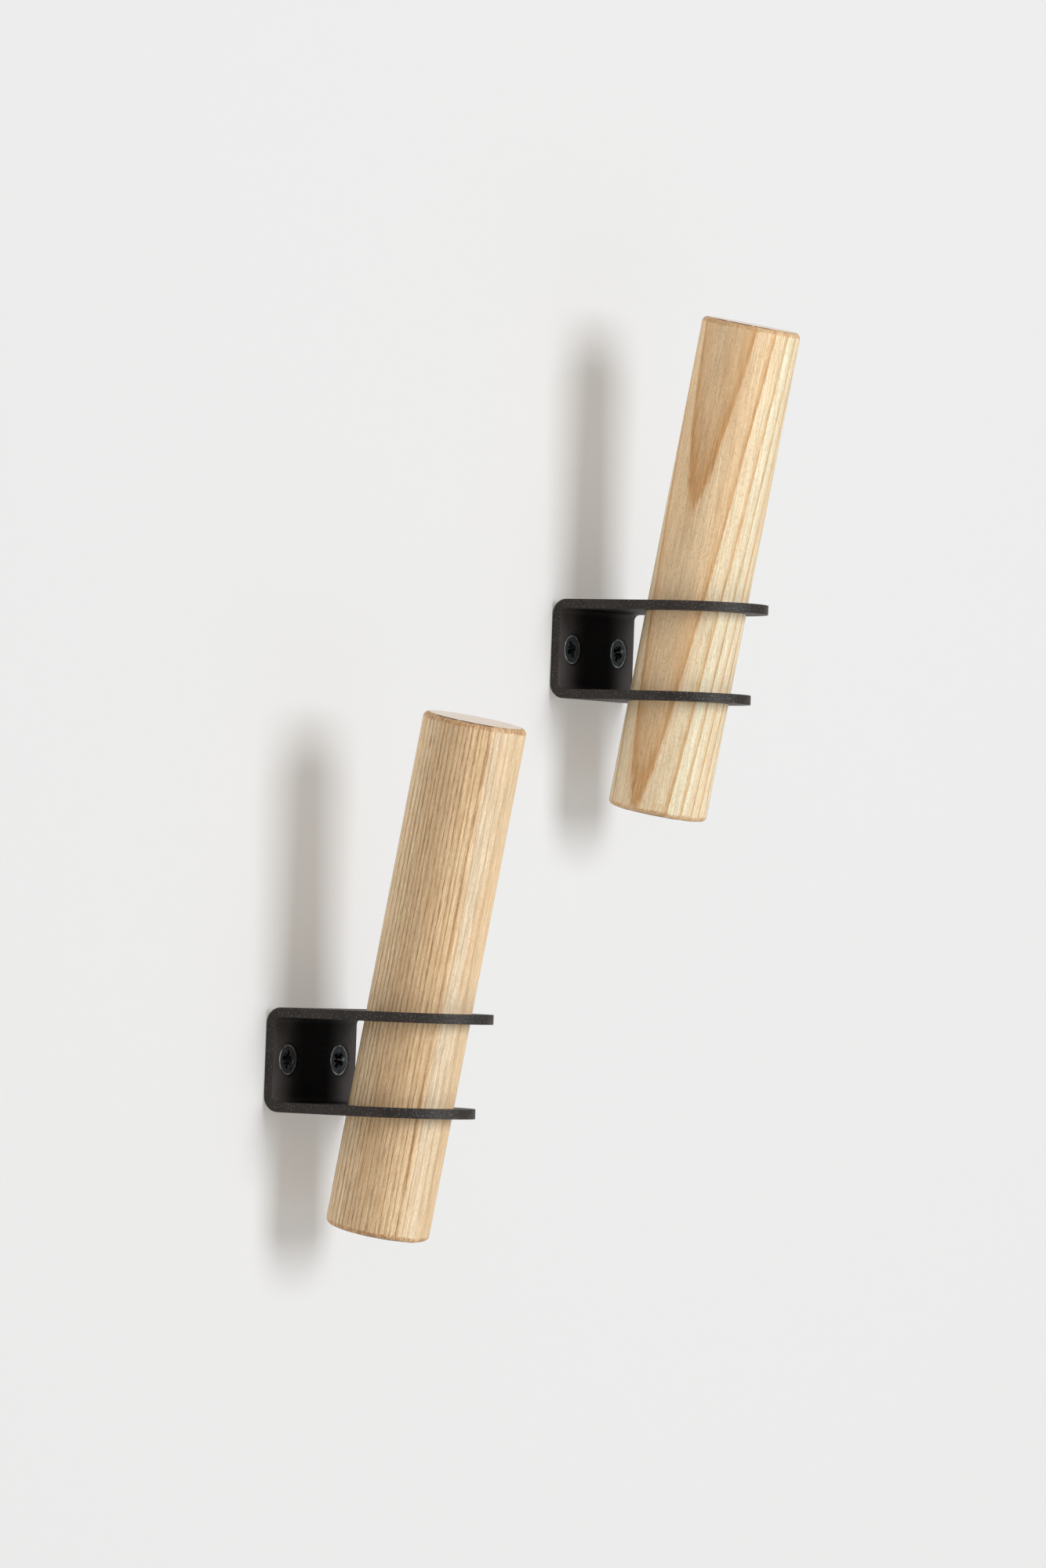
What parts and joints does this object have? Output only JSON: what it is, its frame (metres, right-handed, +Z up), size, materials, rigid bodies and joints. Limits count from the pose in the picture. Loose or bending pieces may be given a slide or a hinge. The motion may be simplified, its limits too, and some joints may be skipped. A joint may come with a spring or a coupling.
{
  "type": "wall hook pair",
  "caption": "Wall coat hooks: each is a bent sheet-steel bracket that holds a leaning round wooden dowel, fixed by countersunk screws in wall plugs.",
  "frame": {"origin": "middle of the lower bracket's back face, on the wall's surface", "axes": "+Y into the wall, square to it; +Z up; +X along the wall, from the lower hook towards the upper one"},
  "size_m": [0.203, 0.1199, 0.2955],
  "materials": {
    "bracket_steel": "black powder coat, fine texture, satin",
    "lower_dowel_wood": "ash, straight fine grain, clear matt oil",
    "upper_dowel_wood": "ash, flat-sawn growth rings, clear matt oil",
    "screw_steel": "black zinc, satin",
    "plug_nylon": "moulded nylon"
  },
  "bodies": {
    "wall_side": {"lower_bracket": "bracket_steel", "lower_screw_left": "screw_steel", "lower_screw_right": "screw_steel", "lower_wall_plug_left": "plug_nylon", "lower_wall_plug_right": "plug_nylon", "upper_bracket": "bracket_steel", "upper_screw_left": "screw_steel", "upper_screw_right": "screw_steel", "upper_wall_plug_left": "plug_nylon", "upper_wall_plug_right": "plug_nylon"},
    "lower_dowel": {"lower_dowel": "lower_dowel_wood"},
    "upper_dowel": {"upper_dowel": "upper_dowel_wood"}
  },
  "joints": [
    {"name": "lower_dowel_slide", "type": "slide", "parent": "wall_side", "child": "lower_dowel", "axis": [0, -0.1822, 0.9833], "range_m": [-0.055, 0.08]},
    {"name": "upper_dowel_slide", "type": "slide", "parent": "wall_side", "child": "upper_dowel", "axis": [0, -0.1822, 0.9833], "range_m": [-0.055, 0.08]}
  ]
}
